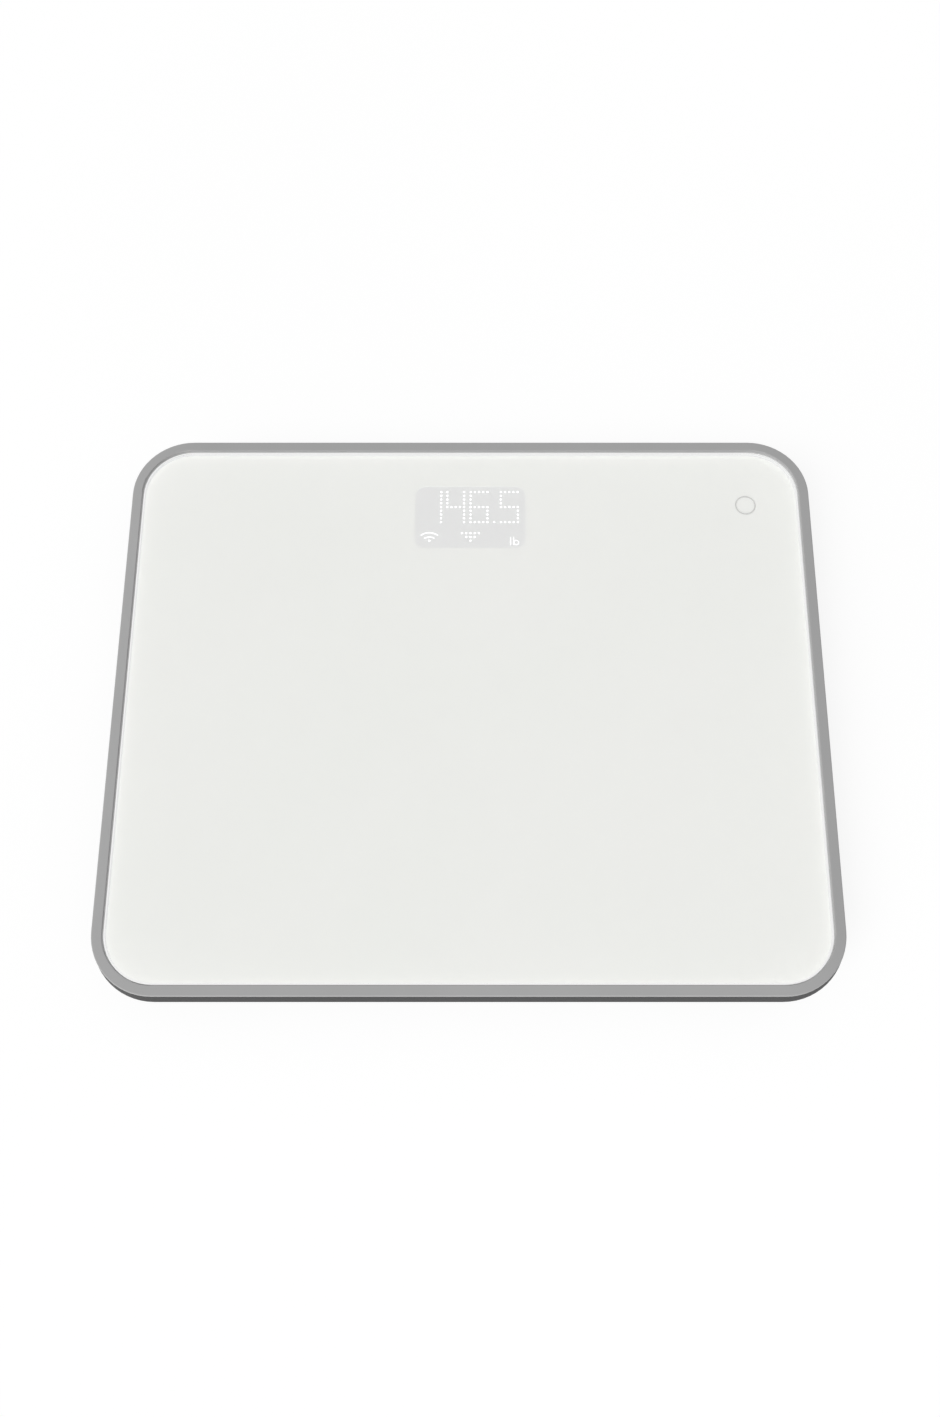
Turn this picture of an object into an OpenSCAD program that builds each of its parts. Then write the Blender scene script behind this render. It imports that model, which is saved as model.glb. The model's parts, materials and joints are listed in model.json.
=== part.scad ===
// Digital bathroom scale with a glass platform.
// Millimetres. +Z is up, +X is to the right and +Y points to the display end.
// The origin is on the floor, under the centre of the platform.

/* [Body] */
// Width of the scale over its rim
body_w = 320.4; // [300:0.1:340]
// Depth of the scale over its rim
body_d = 264; // [250:0.1:290]
// Corner radius of the rim seen from above
corner_r = 27.5; // [26:0.5:32]
// Height from the floor to the top of the rim
body_h = 25; // [25:0.1:27]
// How far below the rim the housing is widest
side_h = 9; // [8:0.1:10]
// How far the housing stands out past the rim there
flare = 1.2; // [0.8:0.1:1.4]

/* [Platform] */
// Width of the rim round the glass
rim_w = 4.8; // [4.5:0.1:6]
// Thickness of the glass
glass_t = 4; // [3.8:0.1:4.2]
// How far the glass lies below the rim
glass_drop = 1.4; // [1.2:0.1:1.6]
// Radius of the polished edge of the glass
glass_edge_r = 0.8; // [0.5:0.1:1.5]

/* [Housing] */
// Thickness of the lower housing
wall = 2; // [1.8:0.1:2.4]
// Clearance between the floor and the belly of the lower housing
belly_z = 5; // [4.5:0.1:5]

/* [Feet] */
// Distance of a foot's centre from the middle, along X
foot_x = 124; // [116:1:124]
// Distance of a foot's centre from the middle, along Y
foot_y = 96; // [90:1:96]
// Radius of the rubber pad
pad_r = 14.5; // [12:0.5:15]
// Thickness of the rubber pad
pad_t = 2; // [1.5:0.1:2.5]
// Travel of a foot at full load
foot_travel = 0.5; // [0.2:0.1:0.5]

/* [Display] */
// Width of the display window
window_w = 52.5; // [50:0.5:54]
// Depth of the display window
window_d = 32.5; // [31:0.5:34]
// Distance of the window's centre from the middle
window_y = 93.6; // [90:0.2:94]
// Corner radius of the display window
window_r = 5; // [3:0.5:6]
// Pitch of the display's dots
dot_pitch = 2; // [2:0.1:2.1]

/* [Batteries] */
// Length of a battery's can
cell_l = 43.3; // [42:0.1:43.5]
// Diameter of a battery
cell_d = 10.5; // [9.5:0.1:10.5]

/* [Buttons] */
// Radius of a button cap
button_r = 4; // [3:0.1:4.5]
// Travel of a button
button_travel = 0.4; // [0.2:0.1:0.5]

/* [Hidden] */
$fn = 72;
// Overlap between joined solids, and how far a cutting solid runs past a face
e = 0.01;
over = 1;

CORNERS = ["fl", "fr", "rl", "rr"];

// Colours
GLASS = [0.93, 0.93, 0.92];
RIM_GREY = [0.64, 0.64, 0.64];
SIDE_GREY = [0.38, 0.38, 0.38];
BLACK = [0.12, 0.12, 0.12];
STEEL = [0.72, 0.73, 0.75];
BOARD = [0.10, 0.35, 0.22];
NATURAL = [0.88, 0.88, 0.85];

// Heights
floor_top = belly_z + wall;
side_low = body_h - side_h;
glass_top_z = body_h - glass_drop;
glass_low_z = glass_top_z - glass_t;
print_t = 0.1;
print_gap = 0.02;
print_low_z = glass_low_z - print_t;
tape_t = 0.4;
shelf_z = print_low_z - tape_t;
shelf_t = 2;
shelf_low_z = shelf_z - shelf_t;
rim_side = 1.7;
seam_z = body_h - rim_side;

// Plan insets from the outer outline
bevel_in = 9;
floor_in = 12;
inner_floor_in = 9.8;
side_wall = 2.2;
knee = [0.2, 0.4];
shelf_in = 16;
glass_gap = 0.1;
glass_in = rim_w + glass_gap;
skirt_gap = 0.3;
skirt_t = 2;
skirt_drop = 0.9;
rim_round = 0.6;
rim_fall = 0.4;
rim_lip_r = 0.4;
base_round = 1.1;
reveal = 0.25;

// Foot mechanism
cup_r = 17;
cup_gap = 0.6;
flange_r = 18.6;
flange_t = 1.4;
flange_z = floor_top + 0.2;
well_in_r = 19.2;
well_out_r = 21.4;
cup_clear = 0.7;
seat_z = flange_z + flange_t + foot_travel + cup_clear;
post_r = 4;
cell_plate = 34;
cell_plate_t = 1.5;
cell_frame = 6;
tongue_w = 11;
carrier_z = seat_z + cell_plate_t;
carrier_plate = 38;
carrier_plate_t = 1.5;
carrier_r = 18.8;
ear_dist = 25.5;
ear_r = 3.2;
ear_t = 2;
ear_screw_r = 1;
fit = 0.05;

// Case screws, as places in the right rear quarter that are mirrored
case_in = 13;
CASE_SCREWS = [[70, body_d / 2 - case_in], [body_w / 2 - case_in, 40]];
case_joint_z = 12;
case_head_r = 2.7;
case_shank_r = 1.3;
case_boss_r = 4.4;
case_well_r = 3;
case_well_h = 3;
frame_boss_r = 3.2;

// Battery bay
cell_pitch = cell_d + 0.5;
cell_r = cell_d / 2;
nub_l = 1.2;
nub_r = 1.9;
spring_l = 5;
bay_y = -30;
bay_in_w = cell_l + nub_l + spring_l + 2;
bay_in_d = 4 * cell_pitch + 1;
bay_wall = 1.6;
bay_roof = 1.2;
door_t = 1.5;
cell_axis_z = belly_z + door_t + 0.4 + cell_r;
bay_top_z = cell_axis_z + cell_r + 0.2;
door_w = bay_in_w + 4;
hinge_r = 1.2;
pin_r = 0.8;
pin_gap = 0.08;
pin_l = 1.5;
hinge_z = belly_z + hinge_r;
hinge_y = bay_y - bay_in_d / 2 - 2;
door_far_y = bay_y + bay_in_d / 2 + 1.2;
door_gap = 0.3;
door_slack = 0.2;
barrel_slack = 0.5;
pin_end_gap = 0.3;
pin_block = [3.4, 4, 3.2];
snap_w = 12;
snap_t = 1.2;
snap_in = 2.6;
snap_h = 3.6;
lug = [snap_w, 0.7, 1];
snap_slot = [14, 3, 4];
door_rib = [bay_in_w - 12, 0.8, 1];
groove = [14, 0.7, 0.35];
groove_pitch = 1.6;
recess_r = 8;
recess_h = 2.6;
recess_wall = 1.5;
recess_roof = 1.4;

// Ribs on the housing's floor: at these places either side of the middle, and these along Y
rib_t = 1.2;
rib_h = 1.6;
RIBS_X = [52, 88];
RIBS_Y = [-66, 0];
rib_start = 40;
rib_end = 14;

// Boards
pcb_t = 1.6;
pcb_w = 84;
pcb_d = 42;
pcb_y = 38;
pcb_z = 13.4;
pcb_top = pcb_z + pcb_t;
PCB_HOLES = [[38, 17], [-38, 17], [38, -17], [-38, -17]];
boss_r = 2.6;
board_screw_r = 1.1;
board_hole_r = 1.5;
board_head_r = 2.2;
board_head_h = 1.4;
board_screw_l = 6;
button_x = 26;
button_y = 30;
button_flange_r = 5.2;
button_hole_r = button_r + 0.3;
button_sink = 0.4;
button_dish_r = 20;
button_dish = 0.5;
guide_gap = 0.4;
guide_t = 1.4;
guide_h = 1.8;
stem_r = 1.5;
plunger_r = 1.7;
switch_w = 6;
switch_h = 3.5;
switch_z = pcb_z - switch_h;
plunger_clear = 0.3;
plunger_z = switch_z - button_travel - plunger_clear;
reflector_top = print_low_z - 0.3;
panel_w = 66;
panel_d = 50;
panel_y = window_y - 3;
panel_z = reflector_top - 3.4 - pcb_t;
panel_top = panel_z + pcb_t;
PANEL_HOLES = [[30.5, 21.5], [-30.5, 21.5], [30.5, -21.5], [-30.5, -21.5]];
dot_cell_r = 0.75;
film_lap = 1;
gasket_in = 1.2;
gasket_out = 2.7;

// Dotted seven-segment digits: 5 columns by 9 rows, dots only along the segments
DIGIT_COLS = 5;
DIGIT_ROWS = 9;
DIGIT_X = [-22, -11.1, 0, 14.4];
digit_low = window_y - 2.6;
point_x = 11.2;
icon_x = -19.4;
icon_low = window_y - 12.4;
function on_segment(c, r) = c == 0 || c == DIGIT_COLS - 1 || r % 4 == 0;
DOTS = concat(
    [for (x0 = DIGIT_X) for (c = [0:DIGIT_COLS - 1]) for (r = [0:DIGIT_ROWS - 1])
        if (on_segment(c, r)) [x0 + c * dot_pitch, digit_low + r * dot_pitch]],
    [[point_x, digit_low]],
    [for (row = [0:2]) for (c = [-row:row]) [c * dot_pitch, icon_low + row * dot_pitch]],
    [[icon_x, icon_low]]);

// Cable routes, chosen by hand on the right side and mirrored for the left one
cable_r = 1;
REAR_CABLE = [[116, 88, 12.6], [104, 76, 12.8], [96, 68, 11.4], [84, 60, 11], [70, 53, 11.2],
              [58, 49, 13], [50, 48, 15.6], [44, 48, 16.8], [40, 48, 16.8]];
FRONT_CABLE = [[116, -88, 12.6], [104, -76, 12.8], [96, -66, 11.4], [88, -48, 11],
               [80, -24, 11], [72, 0, 11], [64, 18, 11.6], [56, 26, 13.6], [50, 28, 15.8],
               [44, 28, 16.8], [40, 28, 16.8]];
wire_r = 0.7;
RED_WIRE = [[28.2, -14, 13], [31, -13, 13], [33.5, -8, 13.4], [33, 2, 14.6], [29, 9, 16.2],
            [24, 14, 16.8], [22, 19, 16.8]];
BLACK_WIRE = [[28.2, -46, 13], [31, -45.5, 13], [35.6, -40, 13], [36.6, -24, 13],
              [36.4, -6, 13.4], [35.6, 3, 14.6], [31, 10.5, 16.2], [25.4, 13.4, 16.8],
              [24, 19, 16.8]];

// ---------------------------------------------------------------- shared shapes

// A rectangle with true round corners
module round_rect(w, d, r) {
    square([w - 2 * r, d], center = true);
    square([w, d - 2 * r], center = true);
    for (x = [-1, 1], y = [-1, 1]) translate([x * (w / 2 - r), y * (d / 2 - r)]) circle(r);
}

module slab(w, d, r, z0, z1) translate([0, 0, z0]) linear_extrude(z1 - z0) round_rect(w, d, r);

// A slab whose edge runs at one distance inside the scale's outline
module inset_slab(in, z0, z1)
    slab(body_w - 2 * in, body_d - 2 * in, corner_r - in, z0, z1);

// Carries a profile round the outline that lies at one distance inside the scale's own.
// The profile's X runs outward from that outline, and its Y is the height.
module around(in = 0) {
    w = body_w / 2 - in;
    d = body_d / 2 - in;
    r = corner_r - in;
    for (a = [0, 180]) rotate([0, 0, a]) {
        rotate([90, 0, 0]) linear_extrude(2 * (d - r), center = true) translate([w, 0]) children();
        rotate([0, 0, 90]) rotate([90, 0, 0])
            linear_extrude(2 * (w - r), center = true) translate([d, 0]) children();
        translate([w - r, d - r]) rotate_extrude(angle = 90, start = 0)
            translate([r, 0]) children();
        translate([r - w, d - r]) rotate([0, 0, 90]) rotate_extrude(angle = 90, start = 0)
            translate([r, 0]) children();
    }
}

module rod(r, z0, z1) translate([0, 0, z0]) cylinder(r = r, h = z1 - z0);

module tube(r0, r1, z0, z1) difference() {
    rod(r1, z0, z1);
    rod(r0, z0 - over, z1 + over);
}

// A pan-head screw that points down, with its head's underside at z and a cross recess
module screw(z, head_r, head_h, shank_r, shank_l) {
    difference() {
        rod(head_r, z, z + head_h);
        for (a = [0, 90]) rotate([0, 0, a])
            translate([-head_r * 0.6, -0.3, z + head_h * 0.45]) cube([head_r * 1.2, 0.6, head_h]);
    }
    rod(shank_r, z - shank_l, z + e);
}

// Mirrors its children from the right rear quarter to a named corner
module at_corner(c)
    mirror([c[1] == "l" ? 1 : 0, 0, 0]) mirror([0, c[0] == "f" ? 1 : 0, 0]) children();

// A foot's own frame: its centre is the origin and -X points to the middle of the scale
module at_foot(c) at_corner(c) translate([foot_x, foot_y]) rotate([0, 0, 45]) children();

// A tube with a polygon section, swept along points
function unit(v) = v / norm(v);
function heading(p, i) = unit(p[min(i + 1, len(p) - 1)] - p[max(i - 1, 0)]);
function side_of(t) = unit(abs(t[2]) > 0.95 ? cross(t, [1, 0, 0]) : cross(t, [0, 0, 1]));
module swept(path, r, sides = 8) {
    rings = [for (i = [0:len(path) - 1]) let (t = heading(path, i), u = side_of(t), v = cross(t, u))
        for (k = [0:sides - 1]) path[i] + r * (cos(360 * k / sides) * u + sin(360 * k / sides) * v)];
    last = (len(path) - 1) * sides;
    polyhedron(rings, concat(
        [[for (k = [0:sides - 1]) k]],
        [for (i = [0:len(path) - 2]) for (k = [0:sides - 1]) let (a = i * sides, n = (k + 1) % sides)
            [a + k, a + sides + k, a + sides + n, a + n]],
        [[for (k = [sides - 1:-1:0]) last + k]]));
}

// A smooth route through hand-chosen points
function spline(p, i, t) = let (a = p[max(i - 1, 0)], b = p[i], c = p[i + 1],
        d = p[min(i + 2, len(p) - 1)])
    0.5 * (2 * b + (c - a) * t + (2 * a - 5 * b + 4 * c - d) * t * t
           + (3 * b - a - 3 * c + d) * t * t * t);
function smooth(p, n = 4) = concat(
    [for (i = [0:len(p) - 2]) for (k = [0:n - 1]) spline(p, i, k / n)], [p[len(p) - 1]]);

// ---------------------------------------------------------------- platform

module glass_top() color(GLASS) {
    inset_slab(glass_in + 3, glass_low_z, glass_top_z);
    around(glass_in) {
        translate([-4, glass_low_z]) square([4 - glass_edge_r, glass_t]);
        translate([-4, glass_low_z + glass_edge_r]) square([4, glass_t - 2 * glass_edge_r]);
        for (z = [glass_low_z + glass_edge_r, glass_top_z - glass_edge_r])
            translate([-glass_edge_r, z]) circle(glass_edge_r);
    }
}

module glass_print() color(NATURAL) difference() {
    inset_slab(glass_in + glass_edge_r, print_low_z, glass_low_z - print_gap);
    translate([0, window_y])
        slab(window_w, window_d, window_r, print_low_z - over, glass_low_z + over);
}

module glass_tape() color(BLACK) difference() {
    inset_slab(glass_in + glass_edge_r + 0.5, shelf_z, print_low_z);
    inset_slab(shelf_in - 0.5, shelf_z - over, print_low_z + over);
}

// ---------------------------------------------------------------- housing

module frame_profile() {
    skirt_out = side_wall + skirt_gap;
    skirt_in = skirt_out + skirt_t;
    skirt_z = shelf_low_z - skirt_drop;
    edge_z = body_h - rim_fall;
    polygon([[-reveal, seam_z], [0, seam_z + reveal], [0, edge_z - rim_round],
             [-rim_round, edge_z], [rim_lip_r - rim_w, body_h], [-rim_w, body_h - rim_lip_r],
             [-rim_w, shelf_z], [-shelf_in, shelf_z], [-shelf_in, shelf_low_z],
             [-skirt_in, shelf_low_z], [-skirt_in, skirt_z], [-skirt_out, skirt_z],
             [-skirt_out, seam_z]]);
    translate([-rim_round, edge_z - rim_round]) circle(rim_round);
    translate([rim_lip_r - rim_w, body_h - rim_lip_r]) circle(rim_lip_r);
}

module case_screw_places() for (p = CASE_SCREWS) for (x = [-1, 1], y = [-1, 1])
    translate([x * p[0], y * p[1]]) children();

module frame() color(RIM_GREY) difference() {
    union() {
        around() frame_profile();
        case_screw_places() rod(frame_boss_r, case_joint_z + 0.1, shelf_z - 1);
    }
    case_screw_places() rod(case_shank_r + fit, case_joint_z - over, shelf_low_z);
}

// The section of the lower housing's side. From the seam it flares out to its widest edge, which
// is rounded by a circle that touches both faces, and from there it is cut back to the belly.
module base_profile() {
    lean = atan2(flare, seam_z - reveal - side_low);
    slope = atan2(side_low - belly_z, bevel_in + flare);
    touch = base_round * tan((90 + lean - slope) / 2);
    centre = [flare - touch * sin(lean) - base_round * cos(lean),
              side_low + touch * cos(lean) - base_round * sin(lean)];
    polygon([[-reveal, seam_z], [0, seam_z - reveal],
             [flare - touch * sin(lean), side_low + touch * cos(lean)],
             [flare - touch * cos(slope), side_low - touch * sin(slope)],
             [-bevel_in, belly_z], [-floor_in, belly_z], [-floor_in, floor_top],
             [-inner_floor_in, floor_top], [flare - side_wall - knee[0], side_low + knee[1]],
             [-side_wall, seam_z]]);
    translate(centre) circle(base_round);
}

module pcb_places() for (p = PCB_HOLES) translate([p[0], pcb_y + p[1]]) children();
module panel_places() for (p = PANEL_HOLES) translate([p[0], panel_y + p[1]]) children();
module button_places() for (x = [-button_x, button_x]) translate([x, button_y]) children();

module boss(z1) tube(board_screw_r + fit, boss_r, floor_top - e, z1);

module foot_well() {
    tube(well_in_r, well_out_r, floor_top - e, seat_z);
    for (y = [-ear_dist, ear_dist]) translate([0, y])
        tube(ear_screw_r + fit, boss_r, floor_top - e, carrier_z);
}

module base_ribs() for (x = [0, 1]) mirror([x, 0, 0]) {
    for (rx = RIBS_X) translate([rx - rib_t / 2, -body_d / 2 + floor_in, floor_top - e])
        cube([rib_t, body_d - 2 * floor_in, rib_h]);
    for (ry = RIBS_Y) translate([rib_start, ry, floor_top - e])
        cube([body_w / 2 - rib_end - rib_start, rib_t, rib_h]);
}

module bay_shell()
    translate([-bay_in_w / 2 - bay_wall, bay_y - bay_in_d / 2 - bay_wall - 1, belly_z])
        cube([bay_in_w + 2 * bay_wall, bay_in_d + 2 * bay_wall + 1,
              bay_top_z + bay_roof - belly_z]);

module door_opening() {
    // The opening that the door closes
    translate([-door_w / 2 - door_gap, hinge_y - hinge_r - door_gap, belly_z - over])
        cube([door_w + 2 * door_gap, door_far_y - hinge_y + hinge_r + 2 * door_gap,
              over + door_t + door_slack]);
    // Room for the hinge barrel and the pin holes in its ends
    translate([-door_w / 2 - door_gap, hinge_y - hinge_r - door_gap, belly_z - over])
        cube([door_w + 2 * door_gap, 2 * (hinge_r + door_gap), over + 2 * hinge_r + barrel_slack]);
    translate([0, hinge_y, hinge_z]) rotate([0, 90, 0])
        cylinder(r = pin_r + pin_gap, h = door_w + 2 * (pin_l + pin_end_gap), center = true);
    // The bay itself
    translate([-bay_in_w / 2, bay_y - bay_in_d / 2, belly_z - over])
        cube([bay_in_w, bay_in_d, bay_top_z - belly_z + over]);
    // The slot that the snap tongue stands in
    translate([-snap_slot[0] / 2, door_far_y - snap_slot[1], belly_z - over])
        cube([snap_slot[0], snap_slot[1] + door_gap, snap_slot[2] + over]);
}

// Half a round pad next to the door's free edge: the finger scoop, or the wall round it
module half_round(r, z0, z1) intersection() {
    translate([0, door_far_y]) rod(r, z0, z1);
    translate([-r, door_far_y - 1, z0]) cube([2 * r, r + 2, z1 - z0]);
}

module base_shell() color(SIDE_GREY) difference() {
    union() {
        around() base_profile();
        inset_slab(floor_in - 1, belly_z, floor_top);
        for (c = CORNERS) at_foot(c) foot_well();
        case_screw_places() rod(case_boss_r, floor_top - e, case_joint_z);
        pcb_places() boss(pcb_z);
        panel_places() boss(panel_z);
        button_places() tube(button_flange_r + guide_gap, button_flange_r + guide_gap + guide_t,
                             floor_top - e, floor_top + guide_h);
        bay_shell();
        half_round(recess_r + recess_wall, belly_z, belly_z + recess_h + recess_roof);
        // Sockets for the door's hinge pins
        for (x = [-1, 1]) translate([x * (door_w / 2 + 2) - pin_block[0] / 2,
                                     hinge_y - pin_block[1] / 2, belly_z])
            cube(pin_block);
        difference() {
            base_ribs();
            for (c = CORNERS) at_foot(c) rod(well_in_r + 1, 0, body_h);
            translate([0, panel_y, body_h / 2]) cube([panel_w, panel_d, body_h], center = true);
        }
    }
    for (c = CORNERS) at_foot(c) {
        rod(cup_r + cup_gap, 0, floor_top + over);
        rod(well_in_r, floor_top, seat_z + over);
    }
    case_screw_places() {
        rod(case_well_r, belly_z - over, belly_z + case_well_h);
        rod(case_shank_r + 0.2, belly_z, case_joint_z + over);
    }
    button_places() {
        rod(button_hole_r, belly_z - over, floor_top + over);
        rod(button_flange_r + guide_gap, floor_top, floor_top + guide_h + over);
        rod(button_hole_r + 1.2, belly_z - over, belly_z + button_sink);
    }
    door_opening();
    half_round(recess_r, belly_z - over, belly_z + recess_h);
}

module case_screws() color(STEEL) case_screw_places() mirror([0, 0, 1])
    screw(-(belly_z + case_well_h), case_head_r, 1.8, case_shank_r, 8.5);

// ---------------------------------------------------------------- battery bay

module battery_door() color(SIDE_GREY) difference() {
    union() {
        translate([-door_w / 2, hinge_y, belly_z]) cube([door_w, door_far_y - hinge_y, door_t]);
        translate([0, hinge_y, hinge_z]) rotate([0, 90, 0]) {
            cylinder(r = hinge_r, h = door_w, center = true);
            cylinder(r = pin_r, h = door_w + 2 * pin_l, center = true);
        }
        // The snap tongue, with its lug just clear of the slot's wall
        translate([-snap_w / 2, door_far_y - snap_in, belly_z]) cube([snap_w, snap_t, snap_h]);
        translate([-snap_w / 2, door_far_y - snap_in + snap_t - 0.1, belly_z + snap_h - lug[2]])
            cube(lug);
        // Ribs between the cells keep them from rattling
        for (k = [-1:1])
            translate([-door_rib[0] / 2, bay_y + k * cell_pitch - door_rib[1] / 2, belly_z])
                cube([door_rib[0], door_rib[1], door_t + door_rib[2]]);
    }
    // Finger grooves across the free end
    for (k = [0:3])
        translate([-groove[0] / 2, door_far_y - 4 - groove_pitch * k, belly_z - over])
            cube([groove[0], groove[1], over + groove[2]]);
}

function cell_y(i) = bay_y + (i - 2.5) * cell_pitch;
// The cells point alternately left and right
function cell_dir(i) = i % 2 == 0 ? 1 : -1;
cell_shift = (spring_l - nub_l) / 2;

// A cell's own frame: its axis is X, and its nub is on the +X side
module at_cell(i) translate([cell_dir(i) * cell_shift, cell_y(i), cell_axis_z])
    rotate([0, 0, cell_dir(i) > 0 ? 0 : 180]) children();

module battery(i) color([0.25, 0.3, 0.36]) at_cell(i) rotate([0, 90, 0]) {
    cylinder(r = cell_r, h = cell_l, center = true);
    translate([0, 0, cell_l / 2 - e]) cylinder(r = nub_r, h = nub_l - 0.2);
}

function coil(turns, r0, r1, l, per = 12) = [for (k = [0:turns * per])
    let (t = k / (turns * per), a = 360 * k / per, r = r0 + (r1 - r0) * t)
        [-l * t, r * cos(a), r * sin(a)]];

module battery_springs() color(STEEL) for (i = [1:4]) at_cell(i)
    translate([-cell_l / 2 - 0.4, 0, 0]) swept(coil(3, 2.2, 3.8, spring_l - 0.2), 0.3, 6);

// Pressed plates at both ends of each cell, the flat ones with a raised pip
module battery_contacts() color(STEEL) for (i = [1:4]) {
    translate([-cell_dir(i) * (bay_in_w / 2 - 0.3), cell_y(i), cell_axis_z])
        cube([0.4, 9, 8.6], center = true);
    translate([cell_dir(i) * (bay_in_w / 2 - 0.3), cell_y(i), cell_axis_z]) {
        cube([0.4, 9, 8.6], center = true);
        rotate([0, -90 * cell_dir(i), 0]) cylinder(r = 1.8, h = 0.8);
    }
}

module battery_wires() {
    color("firebrick") swept(smooth(RED_WIRE), wire_r, 8);
    color(BLACK) swept(smooth(BLACK_WIRE), wire_r, 8);
}

// ---------------------------------------------------------------- electronics

module board(w, d, z, holes) difference() {
    slab(w, d, 2, z, z + pcb_t);
    for (p = holes) translate(p) rod(board_hole_r, z - over, z + pcb_t + over);
}

module main_pcb() color(BOARD) translate([0, pcb_y]) board(pcb_w, pcb_d, pcb_z, PCB_HOLES);

module wifi_module() translate([0, pcb_y]) {
    color(BLACK) translate([-9, -7, pcb_top]) cube([18, 24, 0.8]);
    color(STEEL) translate([-7.5, -6, pcb_top + 0.8 - e]) cube([15, 16, 2.2]);
}

// Three packages, each with a row of leads along two sides
module ic_chips() color(BLACK) translate([0, pcb_y, pcb_top])
    for (p = [[-25, 6, 12, 8], [24, 8, 9, 9], [-22, -10, 7, 5]]) translate([p[0], p[1]]) {
        translate([-p[2] / 2, -p[3] / 2, 0.1]) cube([p[2], p[3], 1.4]);
        for (k = [0:p[2] / 1.27 - 1]) translate([-p[2] / 2 + 0.4 + 1.27 * k, -p[3] / 2 - 0.8, 0])
            cube([0.4, p[3] + 1.6, 0.3]);
    }

// Capacitors, a crystal and chip resistors
module pcb_passives() color([0.75, 0.7, 0.6]) translate([0, pcb_y, pcb_top]) {
    for (p = [[14, -13], [-12, -14]]) translate(p) rod(2.4, 0, 3.4);
    translate([12, 0, 0.9]) cube([3.4, 8, 1.8], center = true);
    for (k = [0:5]) translate([-34 + 3 * k, -3, 0.3]) cube([1.2, 2, 0.6], center = true);
    for (k = [0:4]) translate([17 + 3 * k, -4, 0.3]) cube([1.2, 2, 0.6], center = true);
    for (k = [0:3]) translate([-32 + 4 * k, 14, 0.3]) cube([2, 1.2, 0.6], center = true);
}

// A board socket whose mouth faces +X
module socket(w) difference() {
    translate([-3, -w / 2, 0]) cube([6, w, 3.6]);
    translate([-1.5, -w / 2 + 0.7, 0.7]) cube([5, w - 1.4, 2.2]);
}

module connectors() color(NATURAL) {
    for (x = [0, 1], y = [28, 48]) mirror([x, 0, 0]) translate([39, y, pcb_top]) socket(8);
    translate([23, pcb_y - pcb_d / 2 + 3, pcb_top]) rotate([0, 0, -90]) socket(6);
    translate([-8, pcb_y + pcb_d / 2 - 3.2, pcb_top]) cube([16, 3, 1.6]);
    translate([-8, panel_y - panel_d / 2 + 0.6, panel_top]) cube([16, 3, 1.6]);
}

module pcb_screws() color(STEEL) pcb_places()
    screw(pcb_top, board_head_r, board_head_h, board_screw_r, board_screw_l);

module tact_switches() color(BLACK) button_places() difference() {
    translate([0, 0, switch_z + switch_h / 2]) cube([switch_w, switch_w, switch_h], center = true);
    rod(plunger_r + 0.1, switch_z - over, switch_z + 2);
}

module button() color(NATURAL) difference() {
    union() {
        rod(button_r, belly_z + button_sink, floor_top + 0.3);
        rod(button_flange_r, floor_top + 0.2, floor_top + 1.2);
        rod(stem_r, floor_top + 1.1, plunger_z);
    }
    // A dished face for the fingertip
    translate([0, 0, belly_z + button_sink + button_dish - button_dish_r])
        sphere(r = button_dish_r, $fn = 120);
}

module plunger() color("tan") rod(plunger_r, plunger_z, switch_z + 1.3);

module unit_button() translate([button_x, button_y]) button();
module unit_plunger() translate([button_x, button_y]) plunger();
module sync_button() translate([-button_x, button_y]) button();
module sync_plunger() translate([-button_x, button_y]) plunger();

// ---------------------------------------------------------------- display

// The outline that the film and the reflector share, a little larger than the window
module film_slab(z0, z1) translate([0, window_y])
    slab(window_w + 2 * film_lap, window_d + 2 * film_lap, window_r + film_lap, z0, z1);

module display_window() color([0.89, 0.89, 0.89]) film_slab(reflector_top, print_low_z);

module display_reflector() color(NATURAL) difference() {
    film_slab(panel_top, reflector_top);
    for (p = DOTS) translate(p) rod(dot_cell_r, panel_top - over, reflector_top + over, $fn = 24);
}

module display_gasket() color(BLACK) translate([0, window_y]) difference() {
    slab(window_w + 2 * gasket_out, window_d + 2 * gasket_out, window_r, panel_top, print_low_z);
    slab(window_w + 2 * gasket_in, window_d + 2 * gasket_in, window_r + gasket_in,
         panel_top - over, print_low_z + over);
}

module display_leds() color("ivory") for (p = DOTS) translate(p)
    translate([-0.4, -0.3, panel_top]) cube([0.8, 0.6, 0.5]);

module display_pcb() color(BOARD) translate([0, panel_y])
    board(panel_w, panel_d, panel_z, PANEL_HOLES);

module display_screws() color(STEEL) panel_places()
    screw(panel_top, board_head_r, board_head_h, board_screw_r, board_screw_l);

// A flat ribbon in a shallow bow between the two boards' sockets
module flex_cable() color("peru") {
    y0 = pcb_y + pcb_d / 2 - 0.2;
    y1 = panel_y - panel_d / 2 + 0.6;
    z0 = pcb_top + 0.8;
    z1 = panel_top + 0.8;
    rotate([90, 0, 90]) linear_extrude(12, center = true) polygon([
        [y0, z0], [y0 + 1, z0], [(y0 + y1) / 2, min(z0, z1) - 0.5], [y1 - 1, z1], [y1, z1],
        [y1, z1 + 0.2], [y1 - 1, z1 + 0.2], [(y0 + y1) / 2, min(z0, z1) - 0.3],
        [y0 + 1, z0 + 0.2], [y0, z0 + 0.2]]);
}

// ---------------------------------------------------------------- feet

module foot_pad() color(BLACK) difference() {
    rod(pad_r, 0, pad_t);
    // Two shallow grip grooves
    for (r = [6, 10]) tube(r, r + 0.8, -1, 0.4);
}

module foot_cup() color(SIDE_GREY) {
    difference() {
        rod(cup_r, pad_t - 0.8, flange_z + 0.1);
        rod(pad_r + 0.05, 0, pad_t);
    }
    rod(flange_r, flange_z, flange_z + flange_t);
    rod(post_r, flange_z + flange_t - e, seat_z);
}

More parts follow.
